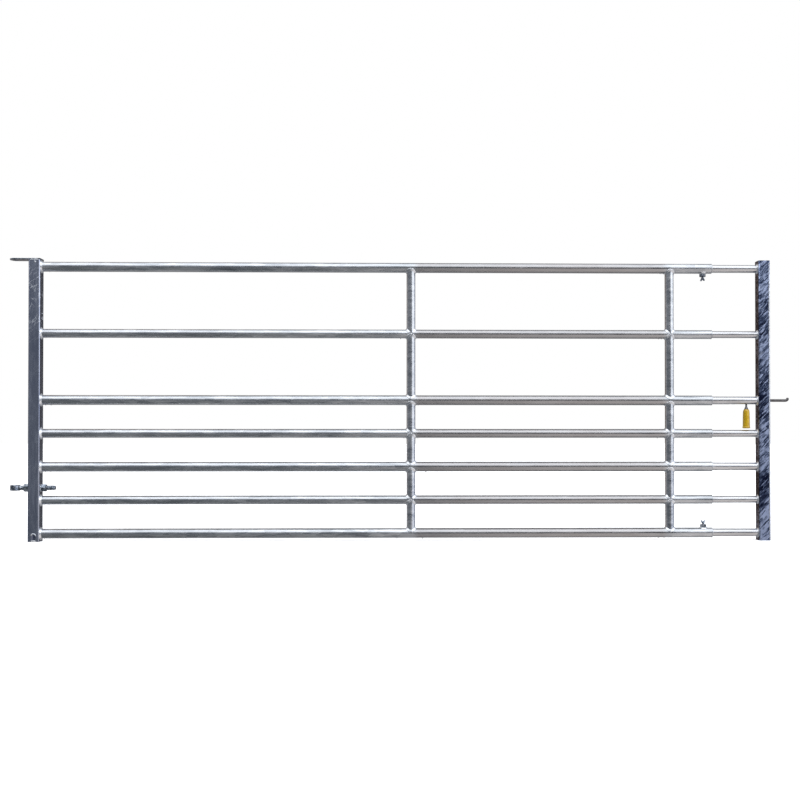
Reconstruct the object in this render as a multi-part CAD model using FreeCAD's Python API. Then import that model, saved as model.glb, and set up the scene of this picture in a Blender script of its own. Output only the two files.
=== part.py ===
import FreeCAD, Part
import math
import os

# Adjustable tubular field gate leaf with a spring latch bolt, in millimetres.
# The origin is the middle of the lower hinge eye, on the hinge axis.
# +X runs from the hinges to the latch, +Y through the leaf, +Z up the hinge axis.

# ---- Leaf: overall sizes -------------------------------------------------------------
LEAF_LENGTH = 3210.0          # outer face of one stile to outer face of the other, as set
LEAF_HEIGHT = 1220.0          # foot of the stiles to their top
HINGE_OFFSET = 61.0           # hinge axis to the heel stile's outer face
HINGE_OVER_RAIL = 53.0        # middle of rail 6 to the middle of the lower hinge eye

# ---- Stiles: square hollow section ---------------------------------------------------
STILE_WIDTH = 50.0
STILE_WALL = 3.0
STILE_CORNER = 5.0            # outside corner radius
STILE_CAP = 3.0               # thickness of the slam stile's top cap
DRAIN_WIDTH = 20.0            # arched drain slot in the heel stile's foot
DRAIN_HEIGHT = 32.0

# ---- Rails ---------------------------------------------------------------------------
RAIL_STEPS = (8, 6, 4, 3, 2, 1, 0)      # rail 1 at the top to rail 7, in equal steps
END_RAIL_INSET = 34.0         # end of the stile to the middle of the first or last rail
STRONG_RAILS = (1, 3, 5, 7)   # the rails made from the larger tube
OUTER_STRONG_DIA = 42.4
OUTER_STRONG_WALL = 3.2
OUTER_LIGHT_DIA = 38.1
OUTER_LIGHT_WALL = 3.0
INNER_WALL = 2.6
SLIDING_GAP = 1.15            # all round between an inner rail and its outer rail
INNER_RAIL_LENGTH = 900.0     # from the slam stile's inner face
INNER_RAIL_SHOWING = 201.0    # the part of it outside the outer rail, as set

# ---- Stays between the rails ---------------------------------------------------------
STAY_DIA = 38.0
STAY_WALL = 3.0
CENTRE_STAY_POSITION = 1645.0  # from the heel stile's outer face
LATCH_STAY_INSET = 185.0       # middle of the stay to the open end of the outer rails

# ---- Hinges --------------------------------------------------------------------------
PIN_HOLE_DIA = 20.0           # for a 19 mm hinge pin
PLATE_WIDTH = 50.0
PLATE_THICK = 6.0
EYE_WALL = 11.0               # metal round the pin hole in the eye bolt
EYE_HEIGHT = 24.0
EYE_BOLT_DIA = 20.0
EYE_BOLT_PITCH = 2.5
EYE_BOLT_SPARE = 62.0         # length that stands past the stile's inner face
EYE_NECK = 6.0                # plain neck between the eye and the thread
EYE_CHAMFER = 2.0             # on the eye's rims and the shank's ends
EYE_NUT_FLATS = 30.0
EYE_NUT_HEIGHT = 18.0
OUTER_NUT_TURN = 8.0          # degrees that each nut stands turned on the bolt
INNER_NUT_TURN = 22.0
BUSH_WALL = 2.5               # bush through the stile that the eye bolt passes through
BUSH_STAND = 4.0              # bush past each face of the stile
BUSH_CLEARANCE = 1.0          # round the eye bolt in its bush

# ---- Clamp screws --------------------------------------------------------------------
CLAMP_INSET = 38.0            # middle of the screw to the open end of the outer rails
CLAMP_DIA = 10.0
CLAMP_PITCH = 1.5
CLAMP_BOSS_FLATS = 24.0
CLAMP_BOSS_RISE = 14.0        # boss face above the rail's surface
CLAMP_TIP_GAP = 0.35          # screw tip to the inner rail
CLAMP_POINT = 0.8             # chamfer on the screw's tip
CLAMP_NECK = 4.5              # screw showing between the boss and the wings
HUB_END_GAP = 0.5             # depth of the wing hub left below its crown by the socket
SOCKET_END_GAP = 0.5          # end of the shank to the bottom of its socket
WING_HUB_DIA = 13.0
WING_HUB_HEIGHT = 6.0
WING_SPREAD = 7.5             # screw axis to the middle of a wing's round end
WING_REACH = 4.0              # hub face to the middle of a wing's round end
WING_END_RADIUS = 3.5
WING_ROOT_RADIUS = 4.0
WING_ROOT_OUT = 1.5           # screw axis to the middle of a wing's root
WING_THICK = 4.5
WING_CROWN = 1.5              # rise of the hub's crown between the wings
UPPER_WING_TURN = 52.0        # degrees that the wings stand turned about the screw
LOWER_WING_TURN = 12.0

# ---- Latch bolt ----------------------------------------------------------------------
LATCH_RAIL = 3                # the rail that holds the bolt
BOLT_DIA = 12.0
BOLT_REACH = 90.0             # nose past the slam stile's outer face
BOLT_TRAVEL = 45.0
BOLT_TAIL = 40.0              # bolt past the guide at rest
NOSE_BEND_RADIUS = 11.0
NOSE_BEND_ANGLE = 65.0
COLLAR_GAP = 2.25             # collar to the inside of the latch rail
COLLAR_LENGTH = 30.0
COLLAR_PIN_DIA = 5.0
COLLAR_PIN_SUNK = 1.0         # pin's ends below the collar's surface
COLLAR_PIN_INSET = 5.5        # pin axis to the collar's outer end
GUIDE_LENGTH = 8.0
SPRING_LENGTH = 116.0         # at rest
SPRING_WIRE = 2.0
SPRING_BORE_GAP = 2.5         # bolt to the inside of the spring
SPRING_TURNS = 14
SPRING_GAP = 0.4              # each end of the spring to the piece that it bears on
VENT_DIA = 13.0               # drain hole under rails 3 and 5
VENT_INSET = 117.0            # drain hole to the slam stile's inner face
VENT_RAILS = (3, 5)

# ---- Pull handle ---------------------------------------------------------------------
HANDLE_INSET = 48.0           # handle axis to the slam stile's inner face
STEM_DIA = 8.0
STEM_DROP = 16.0              # rail's underside to the top of the grip
FERRULE_DIA = 18.0
FERRULE_LENGTH = 11.0
GRIP_TOP_DIA = 29.0
GRIP_FOOT_DIA = 31.0
GRIP_LIP_DIA = 33.0
GRIP_LIP_HEIGHT = 7.0
GRIP_LIP_SLOPE = 1.5          # height over which the grip widens to its lip
GRIP_END_WALL = 21.5          # end of the stem's tang to the grip's foot
GRIP_CLEARANCE = 3.0          # grip to the outer rail below it

# ---- Clearances ----------------------------------------------------------------------
RUNNING_GAP = 0.5             # round the latch bolt in its holes
THREAD_GAP = 0.05             # round a screw in its threaded hole
SLOT_GAP = 1.0                # round the handle's stem in its slot
NUT_CHAMFER_ANGLE = 30.0
THREAD_DEPTH = 0.54           # depth of a thread for each millimetre of its pitch
CUT_PAST = 1.0                # how far a cutting tool runs past a face

# ---- Places worked out from the sizes ------------------------------------------------
RAIL_STEP = (LEAF_HEIGHT - 2.0 * END_RAIL_INSET) / RAIL_STEPS[0]
FOOT_Z = -(END_RAIL_INSET + RAIL_STEP + HINGE_OVER_RAIL)
TOP_Z = FOOT_Z + LEAF_HEIGHT
HEEL_OUT_X = HINGE_OFFSET
HEEL_IN_X = HEEL_OUT_X + STILE_WIDTH
SLAM_OUT_X = HEEL_OUT_X + LEAF_LENGTH
SLAM_IN_X = SLAM_OUT_X - STILE_WIDTH
OUTER_END_X = SLAM_IN_X - INNER_RAIL_SHOWING
INNER_START_X = SLAM_IN_X - INNER_RAIL_LENGTH
CENTRE_STAY_X = HEEL_OUT_X + CENTRE_STAY_POSITION
LATCH_STAY_X = OUTER_END_X - LATCH_STAY_INSET
CLAMP_X = OUTER_END_X - CLAMP_INSET
HANDLE_X = SLAM_IN_X - HANDLE_INSET
VENT_X = SLAM_IN_X - VENT_INSET
RAIL_COUNT = len(RAIL_STEPS)
INNER_STRONG_DIA = OUTER_STRONG_DIA - 2.0 * (OUTER_STRONG_WALL + SLIDING_GAP)
INNER_LIGHT_DIA = OUTER_LIGHT_DIA - 2.0 * (OUTER_LIGHT_WALL + SLIDING_GAP)
LATCH_RAIL_BORE = INNER_STRONG_DIA - 2.0 * INNER_WALL
EYE_OUTER_DIA = PIN_HOLE_DIA + 2.0 * EYE_WALL
BUSH_DIA = EYE_BOLT_DIA + 2.0 * (BUSH_CLEARANCE + BUSH_WALL)
COLLAR_DIA = LATCH_RAIL_BORE - 2.0 * COLLAR_GAP
SPRING_DIA = BOLT_DIA + 2.0 * (SPRING_BORE_GAP + SPRING_WIRE)

X_AXIS = FreeCAD.Vector(1, 0, 0)
Y_AXIS = FreeCAD.Vector(0, 1, 0)
Z_AXIS = FreeCAD.Vector(0, 0, 1)


def point(x, y, z):
    """A point or direction."""
    return FreeCAD.Vector(x, y, z)


def rail_z(number):
    """Height of a rail's middle; rail 1 is the top one."""
    return FOOT_Z + END_RAIL_INSET + RAIL_STEPS[number - 1] * RAIL_STEP


def outer_dia(number):
    """Outside diameter of an outer rail."""
    return OUTER_STRONG_DIA if number in STRONG_RAILS else OUTER_LIGHT_DIA


def outer_wall(number):
    """Wall of an outer rail."""
    return OUTER_STRONG_WALL if number in STRONG_RAILS else OUTER_LIGHT_WALL


def inner_dia(number):
    """Outside diameter of an inner rail."""
    return INNER_STRONG_DIA if number in STRONG_RAILS else INNER_LIGHT_DIA


def rod(dia, start, axis, length):
    """A solid round bar."""
    return Part.makeCylinder(dia / 2.0, length, start, axis)


def tube(dia, wall, start, axis, length):
    """A round tube with open ends."""
    return rod(dia, start, axis, length).cut(rod(dia - 2.0 * wall, start, axis, length))


def rounded_bar(width, corner, x_middle, z_low, length):
    """An upright square bar with rounded corners."""
    half = width / 2.0
    bar = Part.makeBox(width, width, length, point(x_middle - half, -half, z_low))
    upright = [edge for edge in bar.Edges if abs(edge.tangentAt(edge.FirstParameter).z) > 0.9]
    return bar.makeFillet(corner, upright)


def hollow_bar(x_middle, z_low, length):
    """A length of the stiles' square hollow section."""
    outside = rounded_bar(STILE_WIDTH, STILE_CORNER, x_middle, z_low, length)
    bore_width = STILE_WIDTH - 2.0 * STILE_WALL
    bore = rounded_bar(bore_width, STILE_CORNER - STILE_WALL, x_middle, z_low, length)
    return outside.cut(bore)


def turned(outline, base, axis):
    """A turned solid: outline is (distance along axis, radius) from end to end."""
    corners = [point(radius, 0, along) for along, radius in outline]
    corners = [point(0, 0, outline[0][0])] + corners + [point(0, 0, outline[-1][0])]
    unique = [corners[0]]
    for corner in corners[1:]:
        if corner.distanceToPoint(unique[-1]) > 1e-6:
            unique.append(corner)
    wire = Part.makePolygon(unique + [unique[0]])
    solid = Part.Face(wire).revolve(point(0, 0, 0), Z_AXIS, 360)
    solid.Placement = FreeCAD.Placement(base, FreeCAD.Rotation(Z_AXIS, axis))
    return solid


def core_radius(dia, pitch):
    """Radius at the bottom of a screw's thread."""
    return dia / 2.0 - THREAD_DEPTH * pitch


def thread_outline(start, end, dia, pitch):
    """Outline of a threaded stretch as ridges one pitch apart, from core to core."""
    crest = dia / 2.0
    core = core_radius(dia, pitch)
    count = int((end - start) / pitch)
    first = start + (end - start - count * pitch) / 2.0
    outline = [(start, core), (first, core)]
    for turn in range(count):
        low = first + turn * pitch
        outline.append((low + 0.4 * pitch, crest))
        outline.append((low + 0.6 * pitch, crest))
        outline.append((low + pitch, core))
    outline.append((end, core))
    return outline


def hex_nut(flats, height, hole_dia, base, axis, turn=0.0):
    """A hexagon nut with chamfered corners, standing on base along axis."""
    corner = flats / math.sqrt(3.0)
    corners = []
    for side in range(7):
        angle = math.radians(60.0 * side + turn)
        corners.append(point(corner * math.cos(angle), corner * math.sin(angle), 0))
    prism = Part.Face(Part.makePolygon(corners)).extrude(point(0, 0, height))
    chamfer = 0.95 * (corner - flats / 2.0)
    drop = chamfer * math.tan(math.radians(NUT_CHAMFER_ANGLE))
    profile = [(0.0, corner - chamfer), (drop, corner), (height - drop, corner)]
    profile.append((height, corner - chamfer))
    nut = prism.common(turned(profile, point(0, 0, 0), Z_AXIS))
    nut = nut.cut(rod(hole_dia, point(0, 0, -CUT_PAST), Z_AXIS, height + 2.0 * CUT_PAST))
    nut.Placement = FreeCAD.Placement(base, FreeCAD.Rotation(Z_AXIS, axis))
    return nut


# ---- Stiles --------------------------------------------------------------------------
def heel_stile():
    """Hinge-side stile, with holes for the eye bolt's bush and an arched drain slot."""
    middle_x = HEEL_OUT_X + STILE_WIDTH / 2.0
    length = LEAF_HEIGHT - PLATE_THICK
    stile = hollow_bar(middle_x, FOOT_Z, length)
    through = STILE_WIDTH + 2.0 * CUT_PAST
    stile = stile.cut(rod(BUSH_DIA, point(HEEL_OUT_X - CUT_PAST, 0, 0), X_AXIS, through))
    arch_z = FOOT_Z + DRAIN_HEIGHT - DRAIN_WIDTH / 2.0
    front_y = -STILE_WIDTH / 2.0 - CUT_PAST
    deep = STILE_WALL + 2.0 * CUT_PAST
    arch = rod(DRAIN_WIDTH, point(middle_x, front_y, arch_z), Y_AXIS, deep)
    low_corner = point(middle_x - DRAIN_WIDTH / 2.0, front_y, FOOT_Z - CUT_PAST)
    mouth = Part.makeBox(DRAIN_WIDTH, deep, arch_z - FOOT_Z + CUT_PAST, low_corner)
    return stile.cut(arch.fuse(mouth))


def slam_stile():
    """Latch-side stile, with a hole through it for the latch bolt."""
    middle_x = SLAM_OUT_X - STILE_WIDTH / 2.0
    stile = hollow_bar(middle_x, FOOT_Z, LEAF_HEIGHT - STILE_CAP)
    start = point(SLAM_IN_X - CUT_PAST, 0, rail_z(LATCH_RAIL))
    through = STILE_WIDTH + 2.0 * CUT_PAST
    return stile.cut(rod(BOLT_DIA + 2.0 * RUNNING_GAP, start, X_AXIS, through))


def slam_stile_cap():
    """Flat cap welded on the slam stile's top."""
    middle_x = SLAM_OUT_X - STILE_WIDTH / 2.0
    return rounded_bar(STILE_WIDTH, STILE_CORNER, middle_x, TOP_Z - STILE_CAP, STILE_CAP)


# ---- Rails and stays -----------------------------------------------------------------
def clamp_side(number):
    """Direction from a clamped rail's middle to its screw: below rail 1, above rail 7."""
    return -1.0 if number == 1 else 1.0


def outer_rail(number):
    """One outer rail; the end rails are drilled for their clamp screw."""
    start = point(HEEL_IN_X, 0, rail_z(number))
    rail = tube(outer_dia(number), outer_wall(number), start, X_AXIS, OUTER_END_X - HEEL_IN_X)
    if number in (1, RAIL_COUNT):
        axis = point(0, 0, clamp_side(number))
        hole_dia = CLAMP_DIA + 2.0 * THREAD_GAP
        middle = point(CLAMP_X, 0, rail_z(number))
        rail = rail.cut(rod(hole_dia, middle, axis, outer_dia(number)))
    return rail


def inner_rail(number):
    """One sliding rail; the latch rail has a slot below it for the handle's stem."""
    z = rail_z(number)
    dia = inner_dia(number)
    rail = tube(dia, INNER_WALL, point(INNER_START_X, 0, z), X_AXIS, INNER_RAIL_LENGTH)
    if number in VENT_RAILS:
        rail = rail.cut(rod(VENT_DIA, point(VENT_X, 0, z - dia), Z_AXIS, dia))
    if number == LATCH_RAIL:
        width = STEM_DIA + 2.0 * SLOT_GAP
        right_x = HANDLE_X
        left_x = HANDLE_X - BOLT_TRAVEL
        middle = Part.makeBox(right_x - left_x, width, dia, point(left_x, -width / 2.0, z - dia))
        ends = rod(width, point(left_x, 0, z - dia), Z_AXIS, dia)
        ends = ends.fuse(rod(width, point(right_x, 0, z - dia), Z_AXIS, dia))
        rail = rail.cut(middle.fuse(ends))
    return rail


def stay(number, x):
    """A stay from rail NUMBER down to the next one, coped round both tubes."""
    high = rail_z(number)
    low = rail_z(number + 1)
    piece = tube(STAY_DIA, STAY_WALL, point(x, 0, low), Z_AXIS, high - low)
    span = 2.0 * STAY_DIA
    left = x - STAY_DIA
    piece = piece.cut(rod(outer_dia(number), point(left, 0, high), X_AXIS, span))
    return piece.cut(rod(outer_dia(number + 1), point(left, 0, low), X_AXIS, span))


# ---- Hinges --------------------------------------------------------------------------
def top_hinge_plate():
    """Flat bar on the heel stile's top, with a round end and a hole for the hinge pin."""
    low = TOP_Z - PLATE_THICK
    bar = Part.makeBox(HEEL_IN_X, PLATE_WIDTH, PLATE_THICK, point(0, -PLATE_WIDTH / 2.0, low))
    end = rod(PLATE_WIDTH, point(0, 0, low), Z_AXIS, PLATE_THICK)
    through = PLATE_THICK + 2.0 * CUT_PAST
    hole = rod(PIN_HOLE_DIA, point(0, 0, low - CUT_PAST), Z_AXIS, through)
    return bar.fuse(end).removeSplitter().cut(hole)


def lower_eye_bolt():
    """Eye bolt through the heel stile: an upright eye, a neck and a threaded shank."""
    shank_end = HEEL_IN_X + EYE_BOLT_SPARE
    thread_start = EYE_OUTER_DIA / 2.0 + EYE_NECK
    thread_end = shank_end - EYE_CHAMFER
    neck_radius = EYE_BOLT_DIA / 2.0
    end_radius = core_radius(EYE_BOLT_DIA, EYE_BOLT_PITCH) - EYE_CHAMFER / 2.0
    outline = [(0.0, neck_radius), (thread_start - EYE_CHAMFER, neck_radius)]
    outline += thread_outline(thread_start, thread_end, EYE_BOLT_DIA, EYE_BOLT_PITCH)
    outline.append((shank_end, end_radius))
    shank = turned(outline, point(0, 0, 0), X_AXIS)
    low = -EYE_HEIGHT / 2.0
    ring_radius = EYE_OUTER_DIA / 2.0
    ring_outline = [(0.0, ring_radius - EYE_CHAMFER), (EYE_CHAMFER, ring_radius)]
    ring_outline.append((EYE_HEIGHT - EYE_CHAMFER, ring_radius))
    ring_outline.append((EYE_HEIGHT, ring_radius - EYE_CHAMFER))
    ring = turned(ring_outline, point(0, 0, low), Z_AXIS)
    through = EYE_HEIGHT + 2.0 * CUT_PAST
    hole = rod(PIN_HOLE_DIA, point(0, 0, low - CUT_PAST), Z_AXIS, through)
    return ring.fuse(shank).cut(hole)


def eye_bolt_bush():
    """Tube welded through the stile, so that the nuts can't crush the box section."""
    start = point(HEEL_OUT_X - BUSH_STAND, 0, 0)
    return tube(BUSH_DIA, BUSH_WALL, start, X_AXIS, STILE_WIDTH + 2.0 * BUSH_STAND)


def eye_nut(start_x, turn):
    """One of the two nuts that lock the eye bolt in the stile."""
    hole = EYE_BOLT_DIA + 2.0 * THREAD_GAP
    return hex_nut(EYE_NUT_FLATS, EYE_NUT_HEIGHT, hole, point(start_x, 0, 0), X_AXIS, turn)


# ---- Clamp screws --------------------------------------------------------------------
def clamp_boss(number):
    """Hexagonal boss welded on an end rail, coped round the tube."""
    side = clamp_side(number)
    z = rail_z(number)
    height = outer_dia(number) / 2.0 + CLAMP_BOSS_RISE
    hole = CLAMP_DIA + 2.0 * THREAD_GAP
    boss = hex_nut(CLAMP_BOSS_FLATS, height, hole, point(CLAMP_X, 0, z), point(0, 0, side))
    span = 2.0 * CLAMP_BOSS_FLATS
    return boss.cut(rod(outer_dia(number), point(CLAMP_X - span / 2.0, 0, z), X_AXIS, span))


def clamp_shank_span(number):
    """Distances from the rail's middle to the screw's tip and to its wing hub."""
    tip = inner_dia(number) / 2.0 + CLAMP_TIP_GAP
    hub = outer_dia(number) / 2.0 + CLAMP_BOSS_RISE + CLAMP_NECK
    return tip, hub


def clamp_shank(number):
    """Threaded shank of a clamp screw, from its tip into the wing hub."""
    tip, hub = clamp_shank_span(number)
    into_hub = WING_HUB_HEIGHT - SOCKET_END_GAP - HUB_END_GAP
    outline = thread_outline(tip + CLAMP_POINT, hub, CLAMP_DIA, CLAMP_PITCH)
    core = core_radius(CLAMP_DIA, CLAMP_PITCH)
    outline = [(tip, core - CLAMP_POINT)] + outline + [(hub + into_hub, core)]
    middle = point(CLAMP_X, 0, rail_z(number))
    return turned(outline, middle, point(0, 0, clamp_side(number)))


def wing_blade(direction):
    """One wing: two round ends joined by a straight web, to the +X or -X side."""
    half = WING_THICK / 2.0
    root = point(direction * WING_ROOT_OUT, -half, WING_HUB_HEIGHT / 2.0)
    tip = point(direction * WING_SPREAD, -half, WING_HUB_HEIGHT + WING_REACH)
    run = tip.sub(root)
    length = run.Length
    slope = math.acos((WING_ROOT_RADIUS - WING_END_RADIUS) / length)
    heading = math.atan2(run.z, run.x)
    corners = []
    for centre, radius, turn in (
        (root, WING_ROOT_RADIUS, slope),
        (tip, WING_END_RADIUS, slope),
        (tip, WING_END_RADIUS, -slope),
        (root, WING_ROOT_RADIUS, -slope),
    ):
        angle = heading + turn
        offset = point(radius * math.cos(angle), 0, radius * math.sin(angle))
        corners.append(centre.add(offset))
    web = Part.Face(Part.makePolygon(corners + [corners[0]])).extrude(point(0, WING_THICK, 0))
    blade = web.fuse(rod(2.0 * WING_ROOT_RADIUS, root, Y_AXIS, WING_THICK))
    return blade.fuse(rod(2.0 * WING_END_RADIUS, tip, Y_AXIS, WING_THICK))


def clamp_wings(number, turn):
    """Wing head of a clamp screw, with a blind hole for the shank's end."""
    hub = clamp_shank_span(number)[1]
    side = clamp_side(number)
    low_radius = WING_HUB_DIA / 2.0
    outline = [(0.0, low_radius), (0.6 * WING_HUB_HEIGHT, low_radius)]
    outline.append((WING_HUB_HEIGHT + WING_CROWN, low_radius - WING_CROWN))
    head = turned(outline, point(0, 0, 0), Z_AXIS)
    head = head.fuse(wing_blade(1.0)).fuse(wing_blade(-1.0)).removeSplitter()
    reach = WING_SPREAD + WING_HUB_DIA
    under = Part.makeBox(2.0 * reach, 2.0 * reach, reach, point(-reach, -reach, -reach))
    head = head.cut(under)
    socket_dia = 2.0 * (core_radius(CLAMP_DIA, CLAMP_PITCH) + THREAD_GAP)
    socket_depth = WING_HUB_HEIGHT - HUB_END_GAP
    head = head.cut(rod(socket_dia, point(0, 0, -CUT_PAST), Z_AXIS, socket_depth + CUT_PAST))
    spin = FreeCAD.Rotation(Z_AXIS, turn)
    lay = FreeCAD.Rotation(X_AXIS, 180.0 if side < 0 else 0.0)
    place = point(CLAMP_X, 0, rail_z(number) + side * hub)
    head.Placement = FreeCAD.Placement(place, lay.multiply(spin))
    return head


# ---- Latch bolt ----------------------------------------------------------------------
def guide_x():
    """Left face of the bolt's guide: the spring fills the space from it to the collar."""
    collar_left = HANDLE_X - COLLAR_LENGTH / 2.0
    return collar_left - 2.0 * SPRING_GAP - SPRING_LENGTH - GUIDE_LENGTH


def latch_bolt():
    """Round bolt with its nose bent up, drilled across for the collar's pin."""
    z = rail_z(LATCH_RAIL)
    radius = BOLT_DIA / 2.0
    angle = math.radians(NOSE_BEND_ANGLE)
    bend_run = NOSE_BEND_RADIUS * math.sin(angle)
    bend_rise = NOSE_BEND_RADIUS * (1.0 - math.cos(angle))
    bend_x = SLAM_OUT_X + BOLT_REACH - bend_run - radius
    tail_x = guide_x() - BOLT_TAIL
    bar = rod(BOLT_DIA, point(tail_x, 0, z), X_AXIS, bend_x - tail_x)
    section = Part.Face(Part.Wire(Part.makeCircle(radius, point(bend_x, 0, z), X_AXIS)))
    centre = point(bend_x, 0, z + NOSE_BEND_RADIUS)
    bend = section.revolve(centre, point(0, -1, 0), NOSE_BEND_ANGLE)
    tip = Part.makeSphere(radius, point(bend_x + bend_run, 0, z + bend_rise))
    bolt = bar.fuse(bend).fuse(tip)
    pin_x = HANDLE_X + COLLAR_LENGTH / 2.0 - COLLAR_PIN_INSET
    return bolt.cut(rod(COLLAR_PIN_DIA, point(pin_x, -BOLT_DIA, z), Y_AXIS, 2.0 * BOLT_DIA))


def bolt_collar():
    """Collar pinned on the bolt; the spring pushes it and the handle screws into it."""
    z = rail_z(LATCH_RAIL)
    start = HANDLE_X - COLLAR_LENGTH / 2.0
    collar = tube(COLLAR_DIA, (COLLAR_DIA - BOLT_DIA) / 2.0, point(start, 0, z), X_AXIS, COLLAR_LENGTH)
    collar = collar.cut(rod(STEM_DIA, point(HANDLE_X, 0, z), point(0, 0, -1), COLLAR_DIA))
    pin_x = start + COLLAR_LENGTH - COLLAR_PIN_INSET
    return collar.cut(rod(COLLAR_PIN_DIA, point(pin_x, -COLLAR_DIA, z), Y_AXIS, 2.0 * COLLAR_DIA))


def collar_pin():
    """Cross pin that holds the collar on the bolt."""
    pin_x = HANDLE_X + COLLAR_LENGTH / 2.0 - COLLAR_PIN_INSET
    length = COLLAR_DIA - 2.0 * COLLAR_PIN_SUNK
    return rod(COLLAR_PIN_DIA, point(pin_x, -length / 2.0, rail_z(LATCH_RAIL)), Y_AXIS, length)


def bolt_guide():
    """Disc fixed inside the latch rail that guides the bolt's tail."""
    hole = BOLT_DIA + 2.0 * RUNNING_GAP
    start = point(guide_x(), 0, rail_z(LATCH_RAIL))
    return tube(LATCH_RAIL_BORE, (LATCH_RAIL_BORE - hole) / 2.0, start, X_AXIS, GUIDE_LENGTH)


def latch_spring():
    """Round-wire compression spring round the bolt."""
    coil_radius = (SPRING_DIA - SPRING_WIRE) / 2.0
    length = SPRING_LENGTH - SPRING_WIRE
    helix = Part.makeHelix(length / SPRING_TURNS, length, coil_radius)
    start = point(coil_radius, 0, 0)
    circle = Part.Wire(Part.makeCircle(SPRING_WIRE / 2.0, start, Y_AXIS))
    coil = Part.Wire(helix.Edges).makePipeShell([circle], True, True)
    begin = guide_x() + GUIDE_LENGTH + SPRING_GAP + SPRING_WIRE / 2.0
    place = point(begin, 0, rail_z(LATCH_RAIL))
    coil.Placement = FreeCAD.Placement(place, FreeCAD.Rotation(Z_AXIS, X_AXIS))
    return coil


# ---- Pull handle ---------------------------------------------------------------------
def grip_top_z():
    """Height of the grip's upper end."""
    return rail_z(LATCH_RAIL) - inner_dia(LATCH_RAIL) / 2.0 - STEM_DROP - FERRULE_LENGTH / 2.0


def grip_length():
    """Length that leaves the grip just clear of the outer rail below."""
    below = rail_z(LATCH_RAIL + 1) + outer_dia(LATCH_RAIL + 1) / 2.0
    return grip_top_z() - below - GRIP_CLEARANCE


def stem_depth():
    """How far the stem's tang goes into the grip."""
    return grip_length() - GRIP_END_WALL


def handle_stem():
    """Steel stem: screwed into the collar, flared above the grip, with a tang inside it."""
    top = rail_z(LATCH_RAIL) - BOLT_DIA / 2.0
    neck = top - grip_top_z()
    radius = STEM_DIA / 2.0
    flare_start = neck - FERRULE_LENGTH
    outline = [(0.0, radius), (flare_start, radius), (neck, FERRULE_DIA / 2.0)]
    outline.append((neck, radius))
    outline.append((neck + stem_depth(), radius))
    return turned(outline, point(HANDLE_X, 0, top), point(0, 0, -1))


def handle_grip():
    """Moulded grip: round shoulders, a slight taper and a lip at its foot."""
    top = grip_top_z()
    length = grip_length()
    shoulder = FERRULE_DIA / 2.0
    top_radius = GRIP_TOP_DIA / 2.0
    foot_radius = GRIP_FOOT_DIA / 2.0
    lip_radius = GRIP_LIP_DIA / 2.0
    lip_start = length - GRIP_LIP_HEIGHT
    drop = top_radius - shoulder
    lip_round = GRIP_LIP_HEIGHT / 2.0
    bend = 1.0 - math.sqrt(0.5)

    def at(radius, depth):
        return point(radius, 0, -depth)

    edges = []
    edges.append(Part.LineSegment(at(0, 0), at(shoulder, 0)).toShape())
    middle = at(top_radius - bend * drop, bend * 2.0 * drop)
    edges.append(Part.Arc(at(shoulder, 0), middle, at(top_radius, 2.0 * drop)).toShape())
    edges.append(Part.LineSegment(at(top_radius, 2.0 * drop), at(foot_radius, lip_start)).toShape())
    lip_top = at(lip_radius, lip_start + GRIP_LIP_SLOPE)
    edges.append(Part.LineSegment(at(foot_radius, lip_start), lip_top).toShape())
    low = at(lip_radius, length - lip_round)
    edges.append(Part.LineSegment(lip_top, low).toShape())
    foot = at(lip_radius - lip_round, length)
    corner = at(lip_radius - bend * lip_round, length - bend * lip_round)
    edges.append(Part.Arc(low, corner, foot).toShape())
    edges.append(Part.LineSegment(foot, at(0, length)).toShape())
    edges.append(Part.LineSegment(at(0, length), at(0, 0)).toShape())
    grip = Part.Face(Part.Wire(edges)).revolve(point(0, 0, 0), Z_AXIS, 360)
    grip.translate(point(HANDLE_X, 0, top))
    return grip.cut(rod(STEM_DIA, point(HANDLE_X, 0, top), point(0, 0, -1), stem_depth()))


# ---- The whole leaf ------------------------------------------------------------------
def all_pieces():
    """Every piece by its name."""
    outer_nut_x = HEEL_OUT_X - BUSH_STAND - EYE_NUT_HEIGHT
    pieces = {
        "heel_stile": heel_stile(),
        "slam_stile": slam_stile(),
        "slam_stile_cap": slam_stile_cap(),
        "top_hinge_plate": top_hinge_plate(),
        "lower_eye_bolt": lower_eye_bolt(),
        "eye_bolt_bush": eye_bolt_bush(),
        "eye_bolt_outer_nut": eye_nut(outer_nut_x, OUTER_NUT_TURN),
        "eye_bolt_inner_nut": eye_nut(HEEL_IN_X + BUSH_STAND, INNER_NUT_TURN),
        "latch_bolt": latch_bolt(),
        "bolt_collar": bolt_collar(),
        "collar_pin": collar_pin(),
        "bolt_guide": bolt_guide(),
        "latch_spring": latch_spring(),
        "handle_stem": handle_stem(),
        "handle_grip": handle_grip(),
    }
    for number in range(1, RAIL_COUNT + 1):
        pieces["outer_rail_%d" % number] = outer_rail(number)
        pieces["inner_rail_%d" % number] = inner_rail(number)
    for number in range(1, RAIL_COUNT):
        pieces["centre_stay_%d" % number] = stay(number, CENTRE_STAY_X)
        pieces["latch_stay_%d" % number] = stay(number, LATCH_STAY_X)
    clamps = (("upper", 1, UPPER_WING_TURN), ("lower", RAIL_COUNT, LOWER_WING_TURN))
    for name, number, turn in clamps:
        pieces[name + "_clamp_boss"] = clamp_boss(number)
        pieces[name + "_clamp_shank"] = clamp_shank(number)
        pieces[name + "_clamp_wings"] = clamp_wings(number, turn)
    return pieces


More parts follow.
